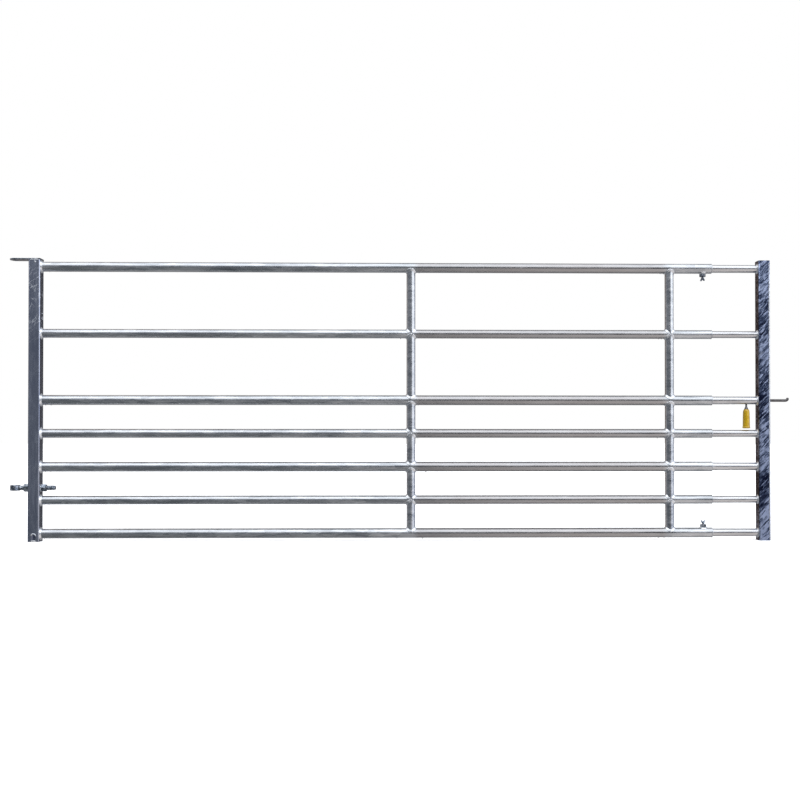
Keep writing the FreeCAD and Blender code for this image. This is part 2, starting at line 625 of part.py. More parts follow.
os.makedirs("parts", exist_ok=True)
for node, shape in sorted(all_pieces().items()):
    box = shape.BoundBox
    print("%-20s solids %d valid %s volume %.0f  x %.1f..%.1f  y %.1f..%.1f  z %.1f..%.1f" % (
        node, len(shape.Solids), shape.isValid(), shape.Volume,
        box.XMin, box.XMax, box.YMin, box.YMax, box.ZMin, box.ZMax))
    solids = shape.Solids
    result = solids[0] if len(solids) == 1 else Part.makeCompound(solids)
    result.exportStep("parts/%s.step" % node)
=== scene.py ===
"""Visual model of an adjustable tubular field gate leaf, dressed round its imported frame."""

import logging
import math
import random
from dataclasses import dataclass
from enum import Enum
from typing import Sequence, Union

import bpy
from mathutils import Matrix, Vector, noise


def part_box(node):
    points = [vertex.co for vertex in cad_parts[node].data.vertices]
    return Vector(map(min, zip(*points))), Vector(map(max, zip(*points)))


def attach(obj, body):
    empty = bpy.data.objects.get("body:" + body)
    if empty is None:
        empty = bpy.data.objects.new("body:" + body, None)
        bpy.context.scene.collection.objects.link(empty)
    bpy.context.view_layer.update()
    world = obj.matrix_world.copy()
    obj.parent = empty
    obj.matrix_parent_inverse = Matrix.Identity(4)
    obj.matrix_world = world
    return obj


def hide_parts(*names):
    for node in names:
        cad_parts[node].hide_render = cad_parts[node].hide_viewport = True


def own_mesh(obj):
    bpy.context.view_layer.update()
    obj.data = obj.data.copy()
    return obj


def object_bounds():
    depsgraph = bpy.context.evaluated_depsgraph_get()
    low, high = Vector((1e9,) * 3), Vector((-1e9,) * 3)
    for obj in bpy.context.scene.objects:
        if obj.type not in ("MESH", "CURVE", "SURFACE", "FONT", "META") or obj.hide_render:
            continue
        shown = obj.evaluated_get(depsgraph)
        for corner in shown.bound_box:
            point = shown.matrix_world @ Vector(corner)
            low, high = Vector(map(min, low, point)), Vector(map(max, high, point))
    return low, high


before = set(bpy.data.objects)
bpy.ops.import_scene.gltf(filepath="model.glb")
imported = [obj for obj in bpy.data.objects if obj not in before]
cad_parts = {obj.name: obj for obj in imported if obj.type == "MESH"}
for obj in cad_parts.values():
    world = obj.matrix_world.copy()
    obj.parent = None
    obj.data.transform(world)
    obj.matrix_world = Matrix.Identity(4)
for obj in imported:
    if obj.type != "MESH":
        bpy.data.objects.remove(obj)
CAD_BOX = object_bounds()

LOG = logging.getLogger("gate_leaf")
TURN = 2.0 * math.pi
RAILS = range(1, 8)
GAPS = range(1, 7)
RIGHT, LEFT = Vector((1.0, 0.0, 0.0)), Vector((-1.0, 0.0, 0.0))
UP, DOWN = Vector((0.0, 0.0, 1.0)), Vector((0.0, 0.0, -1.0))
FRONT, BACK = Vector((0.0, -1.0, 0.0)), Vector((0.0, 1.0, 0.0))
MERGE_DISTANCE = 0.00001

Socket = bpy.types.NodeSocket
Value = Union[Socket, float, Sequence[float]]
Colour = tuple[float, float, float]
Profile = Sequence[tuple[float, float]]


# ---- Shader building ------------------------------------------------------------------
class NodeBench:
    """Adds nodes to one shader tree and joins them."""

    interpolation = "LINEAR"

    def __init__(self, tree: bpy.types.NodeTree) -> None:
        """Empties the tree to build in."""
        self.tree = tree
        self.tree.nodes.clear()

    def feed(self, value: Value, socket: Socket) -> None:
        """Links a socket or sets a constant.

        Args:
            value: The socket, number, vector or colour.
            socket: The input that takes it.
        """
        if isinstance(value, bpy.types.NodeSocket):
            self.tree.links.new(value, socket)
        elif socket.type == "RGBA":
            socket.default_value = (*value[:3], 1.0)
        else:
            socket.default_value = value

    def add(
        self, kind: str, settings: dict[str, object] | None = None, **inputs: Value
    ) -> bpy.types.Node:
        """Adds a node and sets or links its inputs.

        Args:
            kind: The node's Blender type.
            settings: Attributes of the node itself.
            **inputs: Input sockets by name, with underscores for spaces.

        Returns:
            The new node.
        """
        node = self.tree.nodes.new(kind)
        for key, value in (settings or {}).items():
            setattr(node, key, value)
        for key, value in inputs.items():
            self.feed(value, node.inputs[key.replace("_", " ")])
        return node

    def combine(self, operation: str, *values: Value) -> Socket:
        """Joins values with one math operation.

        Args:
            operation: The math node's operation.
            *values: Its inputs in order.

        Returns:
            The result.
        """
        node = self.add("ShaderNodeMath", {"operation": operation})
        for value, socket in zip(values, node.inputs):
            self.feed(value, socket)
        return node.outputs[0]

    def product(self, first: Socket, second: Socket) -> Socket:
        """Product of two values."""
        return self.combine("MULTIPLY", first, second)

    def span(
        self, value: Socket, low: float, high: float, to_low: float = 0.0, to_high: float = 1.0
    ) -> Socket:
        """Stretches part of a value's range, clamped at both ends.

        Args:
            value: The value.
            low: Where the range starts.
            high: Where the range ends.
            to_low: Result at the start.
            to_high: Result at the end.

        Returns:
            The stretched value.
        """
        ends = {"From_Min": low, "From_Max": high, "To_Min": to_low, "To_Max": to_high}
        settings = {"clamp": True, "interpolation_type": self.interpolation}
        return self.add("ShaderNodeMapRange", settings, Value=value, **ends).outputs["Result"]

    def mix(self, factor: Socket, below: Value, above: Value) -> Socket:
        """Lays a colour over another.

        Args:
            factor: How much of the upper colour shows.
            below: The colour below.
            above: The colour on top.

        Returns:
            The mixed colour.
        """
        node = self.add("ShaderNodeMix", {"data_type": "RGBA"}, Factor=factor)
        colours = [socket for socket in node.inputs if socket.type == "RGBA"]
        self.feed(below, colours[0])
        self.feed(above, colours[1])
        return next(socket for socket in node.outputs if socket.type == "RGBA")


class ShaderBench(NodeBench):
    """Builds one procedural material's node tree."""

    def __init__(self, name: str) -> None:
        """Starts an empty material.

        Args:
            name: The material's name.
        """
        self.material = bpy.data.materials.new(name)
        self.material.use_nodes = True
        super().__init__(self.material.node_tree)
        self.place = self.add("ShaderNodeTexCoord").outputs["Object"]
        split = self.add("ShaderNodeSeparateXYZ", Vector=self.place)
        self.along, self.height = split.outputs["X"], split.outputs["Z"]

    def stretched(self, scale: Sequence[float], tilt_degrees: float = 0.0) -> Socket:
        """Object coordinates, turned about Y and then scaled.

        Args:
            scale: Scale on each axis after the turn.
            tilt_degrees: Turn about the Y axis.

        Returns:
            The mapped vector.
        """
        turn = (0.0, math.radians(tilt_degrees), 0.0)
        turned = self.add("ShaderNodeMapping", Vector=self.place, Rotation=turn).outputs["Vector"]
        return self.add("ShaderNodeMapping", Vector=turned, Scale=tuple(scale)).outputs["Vector"]

    def cloud(
        self, size: float, detail: float = 4.0, vector: Socket | None = None, swirl: float = 0.0
    ) -> Socket:
        """Soft noise from 0 to 1.

        Args:
            size: Size of its patches in metres, or in the units of vector.
            detail: Octaves of finer noise.
            vector: Coordinates other than the object's own.
            swirl: Distortion.

        Returns:
            The noise.
        """
        place = self.place if vector is None else vector
        amounts = {"Scale": 1.0 / size, "Detail": detail, "Distortion": swirl}
        return self.add("ShaderNodeTexNoise", Vector=place, **amounts).outputs["Fac"]

    def grains(self, size: float, vector: Socket) -> Socket:
        """A different grey from 0 to 1 for each crystal, with its size in units of vector."""
        cells = self.add("ShaderNodeTexVoronoi", Vector=vector, Scale=1.0 / size)
        return self.add("ShaderNodeRGBToBW", Color=cells.outputs["Color"]).outputs["Val"]

    def window(self, value: Socket, low: float, high: float, fade: float) -> Socket:
        """One between low and high and zero outside, with edges that fade over fade each way."""
        rise = self.span(value, low - fade, low + fade)
        return self.product(rise, self.span(value, high - fade, high + fade, 1.0, 0.0))

    def sum_of(self, *parts: tuple[Socket, float]) -> Socket:
        """Weighted sum of values.

        Args:
            *parts: Pairs of value and weight.

        Returns:
            The sum.
        """
        total: Value = 0.0
        for value, weight in parts:
            total = self.combine("MULTIPLY_ADD", value, weight, total)
        return total

    def tint(self, factor: Socket, *stops: tuple[float, Colour]) -> Socket:
        """Colour ramp.

        Args:
            factor: Place along the ramp.
            *stops: Position and colour of each stop.

        Returns:
            The colour.
        """
        node = self.add("ShaderNodeValToRGB", Fac=factor)
        elements = node.color_ramp.elements
        while len(elements) < len(stops):
            elements.new(0.5)
        for element, (position, colour) in zip(elements, stops):
            element.position = position
            element.color = (*colour, 1.0)
        return node.outputs["Color"]

    def relief(self, *layers: tuple[Socket, float]) -> Socket:
        """Stacks bumps.

        Args:
            *layers: Pairs of height and its depth in metres.

        Returns:
            The bumped normal.
        """
        normal: Socket | None = None
        for height, depth in layers:
            node = self.add("ShaderNodeBump", Height=height, Strength=1.0, Distance=depth)
            if normal is not None:
                self.feed(normal, node.inputs["Normal"])
            normal = node.outputs["Normal"]
        assert normal is not None
        return normal

    def finish(self, **inputs: Value) -> bpy.types.Material:
        """Closes the tree with a principled shader.

        Args:
            **inputs: The shader's inputs.

        Returns:
            The material.
        """
        shader = self.add("ShaderNodeBsdfPrincipled", None, **inputs)
        self.add("ShaderNodeOutputMaterial", Surface=shader.outputs["BSDF"])
        return self.material


class Grain(Enum):
    """Which way the molten zinc ran as it set."""

    EVEN = (1.0, 1.0, 1.0, 0.0)
    ALONG_RAIL = (0.16, 1.0, 1.0, 0.0)
    UPRIGHT = (1.0, 1.0, 0.14, 0.0)
    DIAGONAL = (1.0, 1.0, 0.22, -44.0)


CLOUD_SWIRL = 0.6
FINE_SIZE = 0.16  # of a patch
FINE_SHARE = 0.22
TONE_MIDDLE = 0.60
PEBBLE_SIZE = 0.0045
ZINC_METALLIC = 0.92
# Colour of the painted shade along the underside of the bottom rail.
UNDER_RAIL_SHADE: Colour = (0.004, 0.004, 0.005)


@dataclass(frozen=True)
class ZincCoat:
    """Hot-dip zinc: crystals, clouds and runs, in colour, gloss and relief."""

    name: str
    dark: Colour = (0.34, 0.36, 0.385)
    middle: Colour = (0.56, 0.575, 0.595)
    light: Colour = (0.78, 0.79, 0.80)
    grain: Grain = Grain.EVEN
    patch: float = 0.035
    crystal: float = 0.009
    crystal_share: float = 0.25
    gloss_range: tuple[float, float] = (0.24, 0.44)
    contrast: float = 0.5
    wave: float = 0.0006
    pebble: float = 0.0001
    bloom: Colour = (0.80, 0.81, 0.82)
    bloom_level: float = 0.66
    scratches: float = 0.0
    scuffed: tuple[float, float] = (0.0, 0.0)
    broad: float = 0.0
    broad_size: float = 0.11
    # Start and end in x of a darker, browner stretch of the coat, or None.
    darker_stretch: tuple[float, float] | None = None
    darker_stretch_tint: Colour = (0.37, 0.35, 0.345)
    # Height below which the rails' undersides get a painted shade: a dark, rough, non-metallic
    # line.
    painted_shade_below: float | None = None

    def make(self) -> bpy.types.Material:
        """Builds the coat's material.

        Returns:
            The material.
        """
        bench = ShaderBench(self.name)
        *scale, tilt = self.grain.value
        run = bench.stretched(scale, tilt)
        clouds = bench.cloud(self.patch, 6.0, run, CLOUD_SWIRL)
        crystals = bench.grains(self.crystal, run)
        fine = bench.cloud(self.patch * FINE_SIZE, 5.0, run)
        zones = bench.span(bench.cloud(self.broad_size, 2.0), 0.36, 0.64, -0.5, 0.5)
        tone = bench.sum_of(
            (clouds, 1.0 - self.crystal_share),
            (crystals, self.crystal_share),
            (fine, FINE_SHARE),
            (zones, self.broad),
        )
        half = 0.36 - 0.24 * self.contrast
        spread = bench.span(tone, TONE_MIDDLE - half, TONE_MIDDLE + half)
        colour = bench.tint(spread, (0.0, self.dark), (0.5, self.middle), (1.0, self.light))
        patches = bench.cloud(self.patch * 1.9, 7.0, run)
        powder = bench.span(patches, self.bloom_level, self.bloom_level + 0.12)
        colour = bench.mix(bench.product(powder, bench.cloud(0.004, 3.0)), colour, self.bloom)
        gloss = bench.span(tone, 0.35, 0.85, *self.gloss_range)
        layers = [
            (bench.cloud(self.patch, 1.5, run, CLOUD_SWIRL), self.wave),
            (bench.cloud(self.patch * FINE_SIZE, 1.0, run), self.wave * 0.2),
            (bench.cloud(PEBBLE_SIZE, 1.0), self.pebble),
        ]
        metal: Value = ZINC_METALLIC
        if self.scratches > 0.0:
            marks = self._scratches(bench)
            gloss = bench.sum_of((gloss, 1.0), (marks, 0.4))
            colour = bench.mix(marks, colour, self.bloom)
            layers.append((marks, 0.00006))
        # Darker, browner colour between two x places, with slightly lower roughness.
        if self.darker_stretch is not None:
            darker_stretch_mask = bench.window(bench.along, *self.darker_stretch, 0.012)
            share = bench.product(darker_stretch_mask, bench.span(clouds, 0.3, 0.7, 0.5, 0.85))
            colour = bench.mix(share, colour, self.darker_stretch_tint)
            gloss = bench.sum_of((gloss, 1.0), (darker_stretch_mask, -0.03))
        # Painted shade: a dark, rough, non-metallic band on the rail undersides below the given
        # height, which darkens the underside of the bottom rail.
        if self.painted_shade_below is not None:
            grime_and_shade = bench.window(bench.height, self.painted_shade_below - 0.05, self.painted_shade_below, 0.0012)
            colour = bench.mix(grime_and_shade, colour, UNDER_RAIL_SHADE)
            metal = bench.span(grime_and_shade, 0.0, 1.0, ZINC_METALLIC, 0.0)
            gloss = bench.sum_of((gloss, 1.0), (grime_and_shade, 0.5))
        normal = bench.relief(*layers)
        return bench.finish(Base_Color=colour, Metallic=metal, Roughness=gloss, Normal=normal)

    def _scratches(self, bench: ShaderBench) -> Socket:
        """Thin light scuffs in two crossing directions.

        Args:
            bench: The material's bench.

        Returns:
            A mask of the scuffs.
        """
        where = bench.span(bench.cloud(0.05, 2.0), 0.42, 0.58, 0.1, 1.0)
        zone = bench.span(bench.window(bench.height, *self.scuffed, 0.05), 0.0, 1.0, 0.12, 1.0)
        masks = []
        for tilt, length, weight in ((-50.0, 0.034, 1.0), (-12.0, 0.030, 0.8), (40.0, 0.028, 0.5)):
            lines = bench.cloud(1.0, 1.0, bench.stretched((1.0 / 0.0056, 30.0, 1.0 / length), tilt))
            masks.append((bench.span(lines, 0.60, 0.70), self.scratches * weight))
        return bench.product(bench.product(bench.sum_of(*masks), where), zone)


@dataclass(frozen=True)
class BareSteel:
    """Drawn bar, greased and slightly tarnished."""

    name: str
    dark: Colour = (0.07, 0.067, 0.067)
    light: Colour = (0.21, 0.20, 0.20)
    gloss_range: tuple[float, float] = (0.30, 0.5)

    def make(self) -> bpy.types.Material:
        """Builds the steel's material.

        Returns:
            The material.
        """
        bench = ShaderBench(self.name)
        drawn = bench.cloud(0.004, 4.0, bench.stretched((0.08, 1.0, 1.0)))
        stain = bench.cloud(0.016, 6.0)
        tone = bench.sum_of((drawn, 0.45), (stain, 0.55))
        colour = bench.tint(tone, (0.36, self.dark), (0.66, self.light))
        return bench.finish(
            Base_Color=colour,
            Metallic=0.95,
            Roughness=bench.span(stain, 0.3, 0.7, *self.gloss_range),
            Normal=bench.relief((drawn, 0.00005), (bench.cloud(0.0016, 3.0), 0.00004)),
        )


@dataclass(frozen=True)
class MouldedGrip:
    """Glossy moulded plastic with handling marks."""

    name: str
    body: Colour = (0.70, 0.42, 0.003)
    worn: Colour = (0.84, 0.56, 0.012)
    grime_and_shade: Colour = (0.34, 0.21, 0.008)

    def make(self) -> bpy.types.Material:
        """Builds the plastic's material.

        Returns:
            The material.
        """
        bench = ShaderBench(self.name)
        mottling = bench.cloud(0.03, 4.0)
        colour = bench.tint(mottling, (0.35, self.body), (0.75, self.worn))
        rubbed = bench.cloud(0.006, 6.0, bench.stretched((1.0, 1.0, 0.4)))
        scuff = bench.span(rubbed, 0.60, 0.72, 0.0, 0.5)
        colour = bench.mix(scuff, colour, self.grime_and_shade)
        return bench.finish(
            Base_Color=colour,
            Roughness=bench.span(mottling, 0.3, 0.7, 0.22, 0.38),
            Coat_Weight=0.5,
            Coat_Roughness=0.12,
            Normal=bench.relief((bench.cloud(0.0022, 3.0), 0.00005), (scuff, 0.00005)),
        )


class Finish(Enum):
    """Finishes of this leaf, by the record's material slot."""

    FRAME = "galvanised_frame"
    HEEL = "galvanised_heel_stile"
    SLAM = "galvanised_slam_stile"
    INNER = "galvanised_inner_rail"
    FITTINGS = "galvanised_fittings"
    STEEL = "plain_steel"
    SPRING = "spring_steel"
    GRIP = "yellow_grip"
    WELD = "galvanised_weld"


COATS = {
    Finish.FRAME: ZincCoat(
        "zinc_on_rails",
        grain=Grain.ALONG_RAIL,
        gloss_range=(0.19, 0.36),
        wave=0.0005,
        pebble=0.00001,
        # Darker, browner stretch of the rails right of the middle.
        darker_stretch=(1.727, 2.812),
        # Painted shade along the underside of the bottom rail.
        painted_shade_below=-0.2190,
    ),
    Finish.HEEL: ZincCoat(
        "zinc_on_heel_stile",
        dark=(0.27, 0.30, 0.40),
        middle=(0.38, 0.41, 0.50),
        light=(0.52, 0.56, 0.66),
        grain=Grain.UPRIGHT,
        gloss_range=(0.18, 0.32),
        contrast=0.3,
        wave=0.0003,
        pebble=0.00002,
        bloom=(0.90, 0.92, 0.95),
        bloom_level=0.74,
        scratches=0.7,
        scuffed=(0.66, 0.92),
    ),
    Finish.SLAM: ZincCoat(
        "zinc_on_slam_stile",
        dark=(0.018, 0.026, 0.075),
        middle=(0.115, 0.155, 0.265),
        light=(0.50, 0.58, 0.80),
        grain=Grain.DIAGONAL,
        patch=0.0085,
        crystal=0.0055,
        crystal_share=0.3,
        gloss_range=(0.14, 0.36),
        contrast=0.9,
        wave=0.0005,
        pebble=0.00003,
        bloom=(0.84, 0.90, 1.0),
        bloom_level=0.68,
        broad=0.17,
    ),
    Finish.INNER: ZincCoat(
        "zinc_on_inner_rails",
        dark=(0.46, 0.46, 0.47),
        middle=(0.62, 0.62, 0.63),
        light=(0.76, 0.76, 0.77),
        grain=Grain.ALONG_RAIL,
        gloss_range=(0.18, 0.30),
        contrast=0.3,
        wave=0.0003,
        pebble=0.00002,
    ),
    Finish.FITTINGS: ZincCoat(
        "zinc_on_fittings",
        dark=(0.07, 0.09, 0.13),
        middle=(0.27, 0.31, 0.36),
        light=(0.62, 0.65, 0.70),
        patch=0.011,
        crystal=0.005,
        gloss_range=(0.14, 0.34),
        contrast=0.85,
        wave=0.0005,
    ),
    Finish.WELD: ZincCoat(
        "zinc_on_welds",
        dark=(0.60, 0.62, 0.65),
        middle=(0.80, 0.82, 0.85),
        light=(0.93, 0.94, 0.96),
        patch=0.010,
        crystal=0.004,
        gloss_range=(0.22, 0.38),
        wave=0.0007,
    ),
    Finish.STEEL: BareSteel("tarnished_steel"),
    Finish.SPRING: BareSteel("spring_wire", dark=(0.1, 0.1, 0.105), light=(0.22, 0.22, 0.23)),
    Finish.GRIP: MouldedGrip("moulded_yellow_plastic"),
}


class PaintShop:
    """Makes each finish once and puts it on pieces."""

    def __init__(self) -> None:
        """Builds every finish's material."""
        self.made = {finish: coat.make() for finish, coat in COATS.items()}

    def dress(
        self, node: str, finish: Finish, edge: float = 0.0, segments: int = 2, sharp: float = 50.0
    ) -> None:
        """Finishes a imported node, and breaks its sharp edges.

        Args:
            node: The node's name.
            finish: Its finish.
            edge: Width of the broken edges in metres, or 0 for none.
            segments: Steps across a broken edge.
            sharp: Angle in degrees from which an edge is broken.
        """
        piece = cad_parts[node]
        piece.data.materials.clear()
        piece.data.materials.append(self.made[finish])
        if edge > 0.0:
            piece.modifiers.new("joined_corners", "WELD").merge_threshold = MERGE_DISTANCE
            bevel = piece.modifiers.new("broken_edges", "BEVEL")
            bevel.width = edge
            bevel.segments = segments
            bevel.limit_method = "ANGLE"
            bevel.angle_limit = math.radians(sharp)
            bevel.harden_normals = True
        LOG.info("dressed %s as %s", node, finish.value)


# ---- Mesh building --------------------------------------------------------------------
def steps_round(count: int) -> list[float]:
    """Equal angles round a full turn."""
    return [TURN * step / count for step in range(count)]


def square_to_rail(angle: float) -> Vector:
    """Direction square to the rails, turned from straight up towards the back."""
    return Vector((0.0, math.sin(angle), math.cos(angle)))


class Workpiece:
    """A new mesh piece, gathered from loops of points and then fitted to a body."""

    def __init__(self, name: str) -> None:
        """Starts an empty piece.

        Args:
            name: The piece's name.
        """
        self.name = name
        self.points: list[Vector] = []
        self.faces: list[tuple[int, ...]] = []

    def skin(self, loops: Sequence[Sequence[Vector]], ring: bool, capped: bool = False) -> None:
        """Skins a row of closed loops that all have the same number of points.

        Args:
            loops: The loops in order.
            ring: True if the last loop joins the first.
            capped: True if the first and last loop are closed with a face.
        """
        base = len(self.points)
        count = len(loops[0])
        for loop in loops:
            self.points.extend(loop)
        rows = len(loops) if ring else len(loops) - 1
        for row in range(rows):
            here = base + row * count
            there = base + (row + 1) % len(loops) * count
            for k in range(count):
                after = (k + 1) % count
                self.faces.append((here + k, here + after, there + after, there + k))
        if capped:
            self.faces.append(tuple(range(base, base + count))[::-1])
            last = base + (len(loops) - 1) * count
            self.faces.append(tuple(range(last, last + count)))

    def turned(
        self, profile: Profile, centre: Vector, axis: Vector, steps: int, closed: bool = True
    ) -> None:
        """Turns a profile round an axis.

        Args:
            profile: Pairs of radius and height along the axis.
            centre: Where the height is zero.
            axis: The axis.
            steps: Steps round it.
            closed: True if the profile is a closed outline.
        """
        along = axis.normalized()
        side = along.orthogonal().normalized()
        other = along.cross(side)
        base = len(self.points)
        count = len(profile)
        for angle in steps_round(steps):
            out = side * math.cos(angle) + other * math.sin(angle)
            self.points.extend(centre + out * radius + along * height for radius, height in profile)
        joins = count if closed else count - 1
        for step in range(steps):
            here = base + step * count
            there = base + (step + 1) % steps * count
            for k in range(joins):
                after = (k + 1) % count
                self.faces.append((here + k, there + k, there + after, here + after))

    def fit(
        self,
        body: str,
        shop: PaintShop,
        look: Finish = Finish.WELD,
        stands_for: str = "",
    ) -> bpy.types.Object:
        """Makes the object and fits it to its body.

        Args:
            body: The body it rides on.
            shop: Where the finishes are made.
            look: Its own finish.
            stands_for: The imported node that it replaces, if any.

        Returns:
            The new object.
        """
        mesh = bpy.data.meshes.new(self.name)
        mesh.from_pydata(self.points, [], self.faces)
        mesh.validate()
        mesh.materials.append(shop.made[look])
        mesh.polygons.foreach_set("use_smooth", [True] * len(mesh.polygons))
        mesh.update()
        piece = bpy.data.objects.new(self.name, mesh)
        bpy.context.scene.collection.objects.link(piece)
        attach(piece, body)
        if stands_for:
            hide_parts(stands_for)
        LOG.info("made %s: %d points on %s", self.name, len(self.points), body)
        return piece


@dataclass(frozen=True)
class Corner:
    """One place along a weld: the corner point and the two surfaces that leave it."""

    point: Vector
    along_first: Vector
    along_second: Vector
    first_leg: float
    second_leg: float
    first_sunk: float = 0.0


@dataclass(frozen=True)
class WeldGun:
    """Lays fillet welds with a hand welder's ripple, softened by zinc."""

    crown: float = 0.0009
    ripple: float = 0.07
    ripple_pitch: float = 0.0034
    wander: float = 0.16
    wander_pitch: float = 90.0
    root: float = 0.0006
    stations: int = 7
    end_size: float = 0.35
    end_swell: float = 6.0

    def bead(self, work: Workpiece, corners: Sequence[Corner], closed: bool, seed: float) -> None:
        """Lays one bead.

        Args:
            work: The piece that the bead joins.
            corners: Places along the bead.
            closed: True if the bead is a full ring.
            seed: Makes each bead different.
        """
        loops = []
        travelled = 0.0
        for index, corner in enumerate(corners):
            if index:
                travelled += (corner.point - corners[index - 1].point).length
            ends = 1.0
            if not closed:
                share = index / (len(corners) - 1)
                ends = min(1.0, self.end_size + self.end_swell * min(share, 1.0 - share))
            sample = corner.point * self.wander_pitch + BACK * seed
            size = ends * (1.0 + self.wander * noise.noise(sample))
            size *= 1.0 + self.ripple * math.sin(TURN * travelled / self.ripple_pitch)
            loops.append(self._section(corner, size))
        work.skin(loops, ring=closed, capped=not closed)

    def _section(self, corner: Corner, size: float) -> list[Vector]:
        """Points round the bead's section at one place.

        Args:
            corner: The place.
            size: Scale of the bead there.

        Returns:
            The section's points.
        """
        first, second = corner.along_first, corner.along_second
        out = (first + second).normalized()
        section = []
        for station in range(self.stations):
            share = station / (self.stations - 1)
            near_first = (1.0 - share) ** 2 * corner.first_leg * size
            near_second = share ** 2 * corner.second_leg * size
            rise = self.crown * size * math.sin(math.pi * share)
            sunk = corner.first_sunk * (1.0 - share) ** 3
            sunk += self.root if share in (0.0, 1.0) else 0.0
            place = corner.point + first * near_first + second * near_second
            place = place + out * rise - second * sunk * (1.0 - share) - first * sunk * share
            section.append(place)
        section.append(corner.point - out * self.root * 2.0 - second * corner.first_sunk)
        return section


LIP_FLATNESS = 0.55


def lay_lip(work: Workpiece, path: Sequence[Vector], size: float) -> None:
    """A rounded lip of zinc that lies along a path on a face towards -Y.

    Args:
        work: The piece that it joins.
        path: Points along it.
        size: Half of its width.
    """
    loops = []
    last = len(path) - 1
    for index, place in enumerate(path):
        way = (path[min(index + 1, last)] - path[max(index - 1, 0)]).normalized()
        side = way.cross(BACK)
        share = index / last
        swell = size * min(1.0, 0.35 + 5.0 * min(share, 1.0 - share))
        swell *= 1.0 + 0.14 * noise.noise(place * 210.0)
        loop = []
        for angle in steps_round(10):
            proud = FRONT * (LIP_FLATNESS * swell * math.sin(angle))
            loop.append(place + side * math.cos(angle) * swell + proud)
        loops.append(loop)
    work.skin(loops, ring=False, capped=True)


def node_middle(node: str) -> Vector:
    """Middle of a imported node's box."""
    low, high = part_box(node)
    return (low + high) / 2.0


@dataclass(frozen=True)
class Tube:
    """A round rail as it stands in the frame."""

    start: float
    end: float
    height: float
    radius: float

    @staticmethod
    def of(node: str) -> "Tube":
        """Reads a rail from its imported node.

        Args:
            node: The node's name.

        Returns:
            The rail.
        """
        low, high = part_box(node)
        radius = (high.y - low.y) / 2.0
        return Tube(low.x, high.x, high.z - radius, radius)

    def saddle(self, axis_x: float, facing: float, out: Vector, reach: float, leg: float) -> Corner:
        """Where the wall of an upright piece meets the rail.

        Args:
            axis_x: The piece's upright axis.
            facing: 1 if the piece stands on the rail, -1 if it hangs below.
            out: Level direction from that axis to the wall.
            reach: Distance from that axis to the wall.
            leg: Length of both of the weld's legs.

        Returns:
            The place along the weld.
        """
        across = reach * out.y
        rise = math.sqrt(max(self.radius ** 2 - across ** 2, 1e-10))
        rail_out = Vector((0.0, across, facing * rise)) / self.radius
        away = (out - rail_out * out.dot(rail_out)).normalized()
        point = Vector((axis_x, 0.0, self.height + facing * rise)) + out * reach
        return Corner(point, away, UP * facing, leg, leg)


# ---- Sub-assemblies -------------------------------------------------------------------
@dataclass
class StileWelds:
    """Fillets where the rails meet a stile."""

    leg: float = 0.0085
    steps: int = 96
    stile_half: float = 0.025
    stile_corner: float = 0.005
    edge_land: float = 0.0006

    def ring(self, work: Workpiece, rail: Tube, face_x: float, side: float, seed: float) -> None:
        """Lays one ring.

        Args:
            work: The piece that gathers the rings.
            rail: The rail.
            face_x: The stile's face.
            side: 1 if the rail leaves the face towards +X, else -1.
            seed: Makes each ring different.
        """
        corners = []
        for angle in steps_round(self.steps):
            out = square_to_rail(angle)
            across = max(abs(out.y), 1e-6)
            leg = min(self.leg, (self.stile_half - self.edge_land) / across - rail.radius)
            toe = (rail.radius + leg) * across
            past = max(0.0, toe - (self.stile_half - self.stile_corner))
            sunk = self.stile_corner - math.sqrt(self.stile_corner ** 2 - past ** 2)
            point = Vector((face_x, 0.0, rail.height)) + out * rail.radius
            corners.append(Corner(point, out, RIGHT * side, leg, self.leg, sunk))
        WeldGun().bead(work, corners, True, seed)


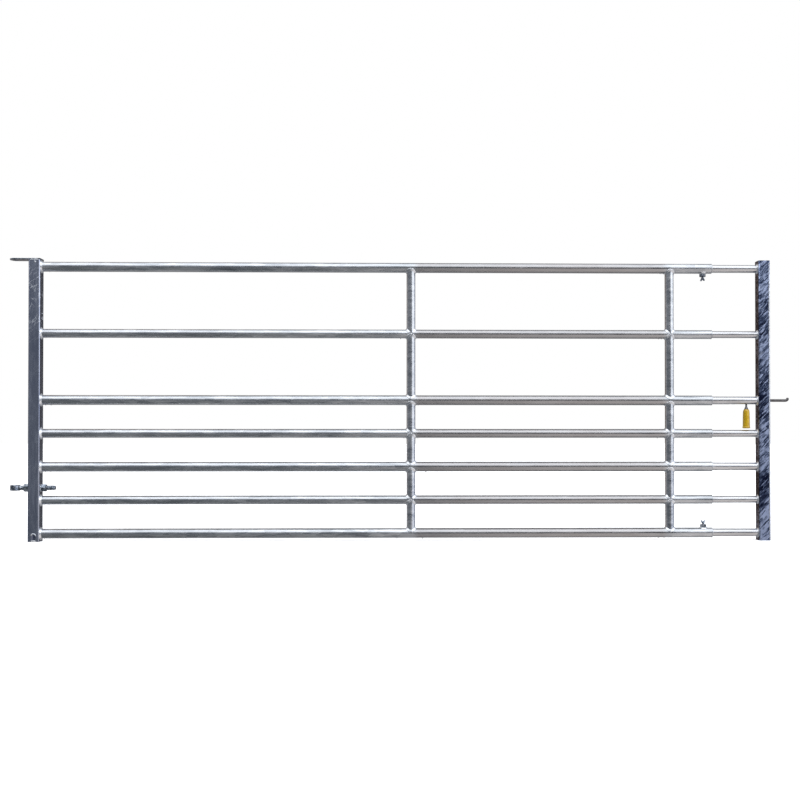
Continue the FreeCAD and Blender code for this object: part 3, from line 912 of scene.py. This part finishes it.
@dataclass
class HeelFrame:
    """Hinge side: stile, hinge fittings and the welds of the outer rails."""

    shop: PaintShop
    seam_leg: float = 0.0022
    seam_rise: float = 0.0009
    fillet_leg: float = 0.005
    bead_steps: int = 24
    corner_clear: float = 0.006
    bush_face_leg: float = 0.0038
    bush_leg: float = 0.003
    bush_steps: int = 64

    def build(self) -> None:
        """Dresses the hinge side and adds its welds."""
        self.shop.dress("heel_stile", Finish.HEEL, 0.0006)
        self.shop.dress("top_hinge_plate", Finish.FITTINGS, 0.0008)
        self.shop.dress("lower_eye_bolt", Finish.FITTINGS)
        self.shop.dress("eye_bolt_bush", Finish.FITTINGS, 0.0004)
        for nut in ("eye_bolt_outer_nut", "eye_bolt_inner_nut"):
            self.shop.dress(nut, Finish.FITTINGS)
        self._rail_welds()
        self._plate_weld()
        self._bush_welds()

    def _rail_welds(self) -> None:
        """Rings where the seven outer rails meet the stile."""
        work = Workpiece("heel_rail_welds")
        for number in RAILS:
            rail = Tube.of(f"outer_rail_{number}")
            StileWelds().ring(work, rail, rail.start, 1.0, number * 3.1)
        work.fit("leaf_frame", self.shop)

    def _plate_weld(self) -> None:
        """Seam round the stile's top and fillet under the plate."""
        low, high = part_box("heel_stile")
        work = Workpiece("hinge_plate_weld")
        steps = self.bead_steps
        reach = high.y - self.corner_clear
        fillet = []
        for k in range(steps + 1):
            place = Vector((low.x, -reach + 2.0 * reach * k / steps, high.z))
            fillet.append(Corner(place, LEFT, DOWN, self.fillet_leg, self.fillet_leg))
        WeldGun(crown=0.0012).bead(work, fillet, False, 1.7)
        for side in (-1.0, 1.0):
            seam = []
            for k in range(steps + 1):
                x = low.x + 0.007 + (high.x - low.x - 0.013) * k / steps
                seam.append(Vector((x, side * high.y, high.z)))
            self._seam(work, seam, BACK * side)
        work.fit("leaf_frame", self.shop)

    def _seam(self, work: Workpiece, path: Sequence[Vector], outward: Vector) -> None:
        """A low flush bead between two level surfaces.

        Args:
            work: The piece that the bead joins.
            path: Points along it.
            outward: The direction that both surfaces face.
        """
        loops = []
        for index, place in enumerate(path):
            share = index / (len(path) - 1)
            size = min(1.0, 0.3 + 7.0 * min(share, 1.0 - share))
            size *= 1.0 + 0.15 * noise.noise(place * 140.0) + 0.06 * math.sin(index * 2.1)
            loop = []
            for angle in steps_round(8):
                spread = DOWN * math.cos(angle) * self.seam_leg
                loop.append(place + (spread + outward * math.sin(angle) * self.seam_rise) * size)
            loops.append(loop)
        work.skin(loops, ring=False, capped=True)

    def _bush_welds(self) -> None:
        """Rings where the eye bolt's bush passes through the stile."""
        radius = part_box("eye_bolt_bush")[1].y
        stile_low, stile_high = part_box("heel_stile")
        work = Workpiece("bush_welds")
        for face, side in ((stile_low.x, -1.0), (stile_high.x, 1.0)):
            corners = []
            for angle in steps_round(self.bush_steps):
                out = square_to_rail(angle)
                point = RIGHT * face + out * radius
                corners.append(
                    Corner(point, out, RIGHT * side, self.bush_face_leg, self.bush_leg)
                )
            WeldGun(crown=0.0006).bead(work, corners, True, side)
        work.fit("leaf_frame", self.shop)


@dataclass
class RailSet:
    """The outer rails and the upright stays between them."""

    shop: PaintShop
    stay_leg: float = 0.0062
    steps: int = 72
    lip_rise: float = 0.0004
    lip_length: float = 0.004

    def build(self) -> None:
        """Dresses rails and stays, and adds their welds and the open ends' lips."""
        for number in RAILS:
            self.shop.dress(f"outer_rail_{number}", Finish.FRAME)
        for row in ("centre", "latch"):
            for gap in GAPS:
                self.shop.dress(f"{row}_stay_{gap}", Finish.FRAME)
            self._stay_welds(row)
        self._open_ends()

    def _stay_welds(self, row: str) -> None:
        """Saddle-shaped welds at both ends of every stay in a row.

        Args:
            row: The row's name.
        """
        work = Workpiece(f"{row}_stay_welds")
        for gap in GAPS:
            low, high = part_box(f"{row}_stay_{gap}")
            axis_x = (low.x + high.x) / 2.0
            radius = (high.x - low.x) / 2.0
            for number, facing in ((gap, -1.0), (gap + 1, 1.0)):
                rail = Tube.of(f"outer_rail_{number}")
                corners = []
                for angle in steps_round(self.steps):
                    out = Vector((math.cos(angle), math.sin(angle), 0.0))
                    corners.append(rail.saddle(axis_x, facing, out, radius, self.stay_leg))
                WeldGun().bead(work, corners, True, gap * 2.3 + facing)
        work.fit("leaf_frame", self.shop)

    def _open_ends(self) -> None:
        """Zinc that thickens the rim of each outer rail's open end."""
        work = Workpiece("outer_rail_lips")
        for number in RAILS:
            rail = Tube.of(f"outer_rail_{number}")
            inner = Tube.of(f"inner_rail_{number}")
            bore = inner.radius + 0.0009
            profile = []
            for k in range(9):
                swell = self.lip_rise * math.sin(math.pi * k / 8)
                profile.append((rail.radius + swell, -self.lip_length * (1.0 - k / 8)))
            profile += [
                (rail.radius - 0.0006, 0.0007),
                (bore + 0.0005, 0.0007),
                (bore, 0.0002),
                (bore, -self.lip_length * 0.5),
                (rail.radius - 0.001, -self.lip_length),
            ]
            work.turned(profile, Vector((rail.end, 0.0, rail.height)), RIGHT, 56)
        work.fit("leaf_frame", self.shop, Finish.FRAME)


@dataclass
class SlamFrame:
    """Latch side: stile, cap and the sliding inner rails."""

    shop: PaintShop
    strip_inset: float = 0.0052
    strip_half: float = 0.0024
    strip_step: float = 0.006

    def build(self) -> None:
        """Dresses the latch side and adds its welds."""
        self.shop.dress("slam_stile", Finish.SLAM, 0.0005)
        self.shop.dress("slam_stile_cap", Finish.SLAM, 0.0008)
        for number in RAILS:
            self.shop.dress(f"inner_rail_{number}", Finish.INNER)
        work = Workpiece("slam_rail_welds")
        for number in RAILS:
            rail = Tube.of(f"inner_rail_{number}")
            StileWelds(leg=0.0065).ring(work, rail, rail.end, -1.0, number * 1.9)
        work.fit("slam_frame", self.shop)
        # Adds a bright strip: a painted highlight along the stile's outer front corner.
        self._corner_highlight_strip()

    def _corner_highlight_strip(self) -> None:
        """A raised strip in the bright weld finish along the stile's outer front corner: a painted
        highlight of the rounded corner.
        """
        low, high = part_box("slam_stile")
        steps = int((high.z - low.z) / self.strip_step)
        path = []
        for step in range(steps + 1):
            z = low.z + 0.004 + (high.z - low.z - 0.012) * step / steps
            sway = 0.0005 * noise.noise(Vector((0.0, 3.0, z * 24.0)))
            path.append(Vector((high.x - self.strip_inset + sway, low.y, z)))
        work = Workpiece("slam_stile_corner_highlight_strip")
        lay_lip(work, path, self.strip_half)
        # The strip takes the bright weld finish, a painted highlight on the dark stile.
        work.fit("slam_frame", self.shop)


@dataclass
class ClampScrew:
    """One clamp screw: welded boss, threaded shank and wing head."""

    shop: PaintShop
    name: str
    rail_number: int
    facing: float
    weld_leg: float = 0.0045
    steps: int = 72

    def build(self) -> None:
        """Dresses the screw and welds its boss on the rail."""
        self.shop.dress(f"{self.name}_clamp_boss", Finish.FITTINGS)
        self.shop.dress(f"{self.name}_clamp_shank", Finish.FITTINGS)
        self.shop.dress(f"{self.name}_clamp_wings", Finish.FITTINGS, 0.0011, 3, 40.0)
        self._boss_weld()

    def _boss_weld(self) -> None:
        """Hexagonal fillet where the boss sits on the round rail."""
        rail = Tube.of(f"outer_rail_{self.rail_number}")
        low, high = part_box(f"{self.name}_clamp_boss")
        axis_x = (low.x + high.x) / 2.0
        flat = (high.y - low.y) / 2.0
        half_side = math.pi / 6.0
        corners = []
        for angle in steps_round(self.steps):
            out = Vector((math.cos(angle), math.sin(angle), 0.0))
            sector = (angle + half_side) % (2.0 * half_side) - half_side
            reach = flat / math.cos(abs(abs(sector) - half_side))
            corners.append(rail.saddle(axis_x, self.facing, out, reach, self.weld_leg))
        work = Workpiece(f"{self.name}_boss_weld")
        WeldGun(ripple=0.05).bead(work, corners, True, self.facing)
        work.fit("leaf_frame", self.shop)


@dataclass
class LatchGear:
    """Latch bolt, its spring and the pull handle."""

    shop: PaintShop
    wire_radius: float = 0.001
    turns: float = 14.0
    steps_per_turn: int = 28
    pull: float = 0.045
    grip_steps: int = 48

    def build(self) -> None:
        """Dresses the bolt and makes the spring and the grip."""
        self.shop.dress("latch_bolt", Finish.STEEL)
        self.shop.dress("bolt_collar", Finish.STEEL, 0.0004)
        self.shop.dress("collar_pin", Finish.STEEL, 0.0003)
        self.shop.dress("bolt_guide", Finish.STEEL, 0.0003)
        self.shop.dress("handle_stem", Finish.STEEL)
        self._spring()
        self._grip()

    def _spring(self) -> None:
        """Compression spring with closed ends."""
        low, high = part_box("latch_spring")
        middle = (low + high) / 2.0
        radius = (high.y - low.y) / 2.0 - self.wire_radius
        length = high.x - low.x - 2.0 * self.wire_radius
        count = int(self.turns * self.steps_per_turn)
        dead = 1.0 / self.turns
        closed_end = 2.2 * self.wire_radius
        loops = []
        for step in range(count + 1):
            share = step / count
            if share < dead:
                along = closed_end * share / dead
            elif share > 1.0 - dead:
                along = length - closed_end * (1.0 - share) / dead
            else:
                live = (share - dead) / (1.0 - 2.0 * dead)
                along = closed_end + (length - 2.0 * closed_end) * live
            out = square_to_rail(TURN * self.turns * share)
            centre = Vector((low.x + self.wire_radius + along, middle.y, middle.z)) + out * radius
            loop = []
            for around in steps_round(10):
                wall = out * math.cos(around) + RIGHT * math.sin(around)
                loop.append(centre + wall * self.wire_radius)
            loops.append(loop)
        work = Workpiece("spring_coils")
        work.skin(loops, ring=False, capped=True)
        spring = work.fit("slam_frame", self.shop, Finish.SPRING, "latch_spring")
        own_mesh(spring)

    def _grip(self) -> None:
        """Moulded grip: domed shoulders, a waist above its lip and a parting line."""
        low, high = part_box("handle_grip")
        stem_low, stem_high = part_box("handle_stem")
        centre = Vector(((low.x + high.x) / 2.0, 0.0, low.z))
        height = high.z - low.z
        lip = (high.y - low.y) / 2.0
        ferrule = (stem_high.y - stem_low.y) / 2.0
        body = lip - 0.0011
        profile = [
            (0.0004, 0.0018),
            (lip * 0.45, 0.0014),
            (lip * 0.62, 0.0004),
            (lip - 0.0052, 0.0),
            (lip - 0.0022, 0.0007),
            (lip - 0.0006, 0.0024),
            (lip, 0.0046),
            (lip - 0.0004, 0.0062),
            (body - 0.0004, 0.0078),
            (body - 0.0006, 0.0105),
            (body - 0.0007, height * 0.35),
            (body - 0.0011, height * 0.62),
            (body - 0.0016, height - 0.012),
            (body - 0.0023, height - 0.0072),
            (body - 0.0047, height - 0.0028),
            (ferrule + 0.0010, height - 0.0006),
            (ferrule - 0.0002, height - 0.0001),
            (ferrule - 0.0016, height - 0.0012),
            (0.0042, height - 0.0016),
        ]
        work = Workpiece("moulded_grip")
        work.turned(profile, centre, UP, self.grip_steps, closed=False)
        self._parting_line(work, centre, height)
        bottom = len(profile)
        work.faces.append(tuple(step * bottom for step in range(self.grip_steps))[::-1])
        grip = work.fit("latch_bolt", self.shop, Finish.GRIP, "handle_grip")
        smooth = grip.modifiers.new("smooth_mould", "SUBSURF")
        smooth.levels = smooth.render_levels = 1

    @staticmethod
    def _parting_line(work: Workpiece, centre: Vector, height: float) -> None:
        """Raises the thin line where the two halves of the mould met.

        Args:
            work: The grip.
            centre: Middle of its foot.
            height: Its height.
        """
        for index, point in enumerate(work.points):
            radial = Vector((point.x - centre.x, point.y, 0.0))
            if radial.length < 0.009 or abs(radial.y) > 0.0003:
                continue
            if 0.004 < point.z - centre.z < height - 0.004:
                work.points[index] = point + radial.normalized() * 0.0003


@dataclass
class ZincRuns:
    """Small drops of zinc that set as they drained from the rails and the stiles."""

    shop: PaintShop
    seed: int = 11
    per_rail: int = 5
    slot_width: float = 0.020
    slot_height: float = 0.032
    spot_radius: float = 0.0042
    spot_rise: float = 0.0012

    def build(self) -> None:
        """Makes the drops, seeded, under the outer rails and on the heel stile."""
        chance = random.Random(self.seed)
        work = Workpiece("zinc_runs")
        stays = [node_middle("centre_stay_1").x, node_middle("latch_stay_1").x]
        for number in RAILS:
            rail = Tube.of(f"outer_rail_{number}")
            for _ in range(self.per_rail):
                spots = [rail.start + 0.03, stays[0] - 0.05, stays[0] + 0.05, stays[1] - 0.04]
                near = chance.choice(spots)
                x = near + chance.uniform(-0.02, 0.02)
                self._drop(work, Vector((x, 0.0, rail.height - rail.radius)), chance)
        work.fit("leaf_frame", self.shop)
        low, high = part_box("heel_stile")
        self._slot_rim(Vector(((low.x + high.x) / 2.0, low.y, low.z)))
        self._spot(Vector((low.x + 0.028, low.y, high.z - 0.010)))

    def _slot_rim(self, foot: Vector) -> None:
        """Zinc that thickened round the top of the drain slot and in its mouth.

        Args:
            foot: Middle of the slot's mouth on the stile's front face.
        """
        work = Workpiece("drain_slot_rim")
        radius = self.slot_width / 2.0
        centre = foot + UP * (self.slot_height - radius)
        arch = []
        for step in range(31):
            angle = math.radians(18.0 + 144.0 * step / 30.0)
            way = Vector((math.cos(angle), 0.0, math.sin(angle)))
            arch.append(centre + way * (radius + 0.0016))
        lay_lip(work, arch, 0.0030)
        mouth = foot + UP * 0.0042
        web = [mouth + RIGHT * ((step / 15.0 - 1.0) * (radius + 0.0004)) for step in range(31)]
        lay_lip(work, web, 0.0026)
        work.fit("leaf_frame", self.shop)

    def _drop(self, work: Workpiece, place: Vector, chance: random.Random) -> None:
        """One hanging drop.

        Args:
            work: The piece that gathers the drops.
            place: Where it hangs.
            chance: The seeded source of its size.
        """
        size = chance.uniform(0.0011, 0.0022)
        length = size * chance.uniform(1.2, 2.4)
        profile = [
            (size * 2.0, 0.0006),
            (size * 1.3, 0.0001),
            (size * 0.8, -length * 0.35),
            (size * 0.62, -length * 0.7),
            (size * 0.38, -length * 0.95),
            (0.00003, -length),
        ]
        work.turned(profile, place, UP, 14, closed=False)

    def _spot(self, place: Vector) -> None:
        """A low flattened spot on the heel stile's front face.

        Args:
            place: Its middle.
        """
        profile = [(self.spot_radius * 1.1, -0.0006)]
        for k in range(6):
            angle = math.pi / 2.0 * k / 5.5
            profile.append((self.spot_radius * math.cos(angle), self.spot_rise * math.sin(angle)))
        work = Workpiece("heel_stile_zinc_spot")
        work.turned(profile, place, FRONT, 20, closed=False)
        work.fit("leaf_frame", self.shop)


# ---- Studio ---------------------------------------------------------------------------
class SkyBench(NodeBench):
    """Builds the light that surrounds the leaf, by direction."""

    interpolation = "SMOOTHSTEP"

    def __init__(self, name: str) -> None:
        """Starts an empty world.

        Args:
            name: The world's name.
        """
        world = bpy.data.worlds.new(name)
        bpy.context.scene.world = world
        world.use_nodes = True
        super().__init__(world.node_tree)
        ways = self.add("ShaderNodeTexCoord").outputs["Generated"]
        self.direction = tuple(self.add("ShaderNodeSeparateXYZ", Vector=ways).outputs)

    def light(self, colour: Socket, page: Colour) -> None:
        """Closes the tree: the light itself, and a plain page where nothing stands.

        Args:
            colour: The light's colour by direction.
            page: Colour of the empty page.
        """
        glow = self.add("ShaderNodeBackground", Color=colour)
        empty = self.add("ShaderNodeBackground", Color=page)
        seen = self.add("ShaderNodeLightPath").outputs["Is Camera Ray"]
        choose = self.add("ShaderNodeMixShader")
        for value, socket in zip((seen, glow.outputs[0], empty.outputs[0]), choose.inputs):
            self.feed(value, socket)
        self.add("ShaderNodeOutputWorld", Surface=choose.outputs[0])


@dataclass
class Studio:
    """Pale floor, soft light and the camera."""

    floor_half: float = 60.0
    page: Colour = (1.0, 1.0, 1.0)
    sky: Colour = (1.80, 1.86, 1.95)
    roof_share: float = 0.16
    front_skyline: float = 0.40
    right_skyline: float = -0.13
    near_right_skyline: float = 0.26
    front_wall: Colour = (0.125, 0.138, 0.160)
    high_wall: Colour = (0.190, 0.208, 0.240)
    near_right_wall: Colour = (0.055, 0.057, 0.066)
    rear_wall: Colour = (0.085, 0.078, 0.075)
    rear_left_wall: Colour = (0.15, 0.09, 0.05)
    left_wall: Colour = (0.44, 0.43, 0.44)
    right_wall: Colour = (0.45, 0.52, 0.75)
    front_ground: Colour = (0.150, 0.163, 0.175)
    right_ground: Colour = (0.80, 0.76, 0.75)
    rear_ground: Colour = (0.34, 0.345, 0.36)
    lens: float = 45.92
    camera_height: float = 0.2209
    camera_distance: float = 4.4343
    camera_side: float = 1.6394
    yaw: float = 0.01953
    pitch: float = 0.01021
    shift_x: float = -0.01942
    shift_y: float = 0.03274

    def build(self) -> None:
        """Sets up floor, light and camera."""
        bpy.context.scene.view_settings.view_transform = "Standard"
        self._floor()
        self._sky()
        self._camera()

    def _floor(self) -> None:
        """A large pale sheet under the stiles' feet."""
        work = Workpiece("studio_floor")
        rows = 8
        places = [self.floor_half * (2.0 * i / rows - 1.0) for i in range(rows + 1)]
        work.points = [Vector((x, y, CAD_BOX[0].z)) for x in places for y in places]
        for i in range(rows):
            for j in range(rows):
                a = i * (rows + 1) + j
                work.faces.append((a, a + rows + 1, a + rows + 2, a + 1))
        mesh = bpy.data.meshes.new(work.name)
        mesh.from_pydata(work.points, [], work.faces)
        floor = bpy.data.objects.new(work.name, mesh)
        bpy.context.scene.collection.objects.link(floor)
        bench = ShaderBench("studio_paper")
        tooth = bench.cloud(0.4, 3.0)
        paper = bench.finish(
            Base_Color=bench.tint(tooth, (0.3, (0.80, 0.80, 0.80)), (0.7, (0.82, 0.82, 0.82))),
            Roughness=0.9,
            Emission_Color=(1.0, 1.0, 1.0, 1.0),
            Emission_Strength=0.62,
        )
        mesh.materials.append(paper)
        floor.visible_glossy = False
        floor.visible_diffuse = False

    def _sky(self) -> None:
        """Soft light from above and from the right; dim walls all round, a dull ground below."""
        sky = SkyBench("studio_light")
        across, depth, rise = sky.direction
        right = sky.product(sky.span(across, 0.30, 0.60), sky.span(depth, 0.25, 0.65, 1.0, 0.0))
        near_right = sky.span(across, 0.0, 0.09)
        left = sky.product(sky.span(across, -0.6, -0.9), sky.span(depth, -0.4, 0.15))
        behind = sky.span(depth, -0.1, 0.4)
        front_skyline = sky.span(near_right, 0.0, 1.0, self.front_skyline, self.near_right_skyline)
        drop = sky.span(right, 0.0, 1.0, 0.0, self.right_skyline - self.near_right_skyline)
        skyline = sky.combine("ADD", front_skyline, drop)
        open_sky = sky.span(sky.combine("SUBTRACT", rise, skyline), -0.04, 0.26)
        roof = sky.span(depth, -0.2, 0.5, 1.0, self.roof_share)
        ground = sky.mix(near_right, self.front_ground, self.right_ground)
        ground = sky.mix(sky.span(depth, -0.3, 0.6), ground, self.rear_ground)
        rear = sky.mix(sky.span(across, 0.0, -0.3), self.rear_wall, self.rear_left_wall)
        wall = sky.mix(sky.span(rise, -0.08, 0.22), self.front_wall, self.high_wall)
        wall = sky.mix(near_right, wall, self.near_right_wall)
        wall = sky.mix(behind, wall, rear)
        wall = sky.mix(left, wall, self.left_wall)
        wall = sky.mix(right, wall, self.right_wall)
        low = sky.mix(sky.span(rise, -0.24, -0.08), ground, wall)
        bright = sky.product(open_sky, roof)
        sky.light(sky.mix(bright, low, self.sky), self.page)

    def _camera(self) -> None:
        """A nearly level camera in front of the leaf's middle."""
        data = bpy.data.cameras.new("studio_camera")
        data.lens = self.lens
        data.sensor_width = 36.0
        data.shift_x = self.shift_x
        data.shift_y = self.shift_y
        data.clip_end = 200.0
        camera = bpy.data.objects.new("studio_camera", data)
        camera.location = (self.camera_side, -self.camera_distance, self.camera_height)
        camera.rotation_euler = (math.pi / 2.0 + self.pitch, 0.0, -self.yaw)
        bpy.context.scene.collection.objects.link(camera)
        bpy.context.scene.camera = camera


def main() -> None:
    """Builds the leaf's sub-assemblies in order."""
    logging.basicConfig(level=logging.INFO, format="%(message)s")
    shop = PaintShop()
    Studio().build()
    HeelFrame(shop).build()
    RailSet(shop).build()
    SlamFrame(shop).build()
    ClampScrew(shop, "upper", 1, -1.0).build()
    ClampScrew(shop, "lower", 7, 1.0).build()
    LatchGear(shop).build()
    ZincRuns(shop).build()


if __name__ == "__main__":
    main()
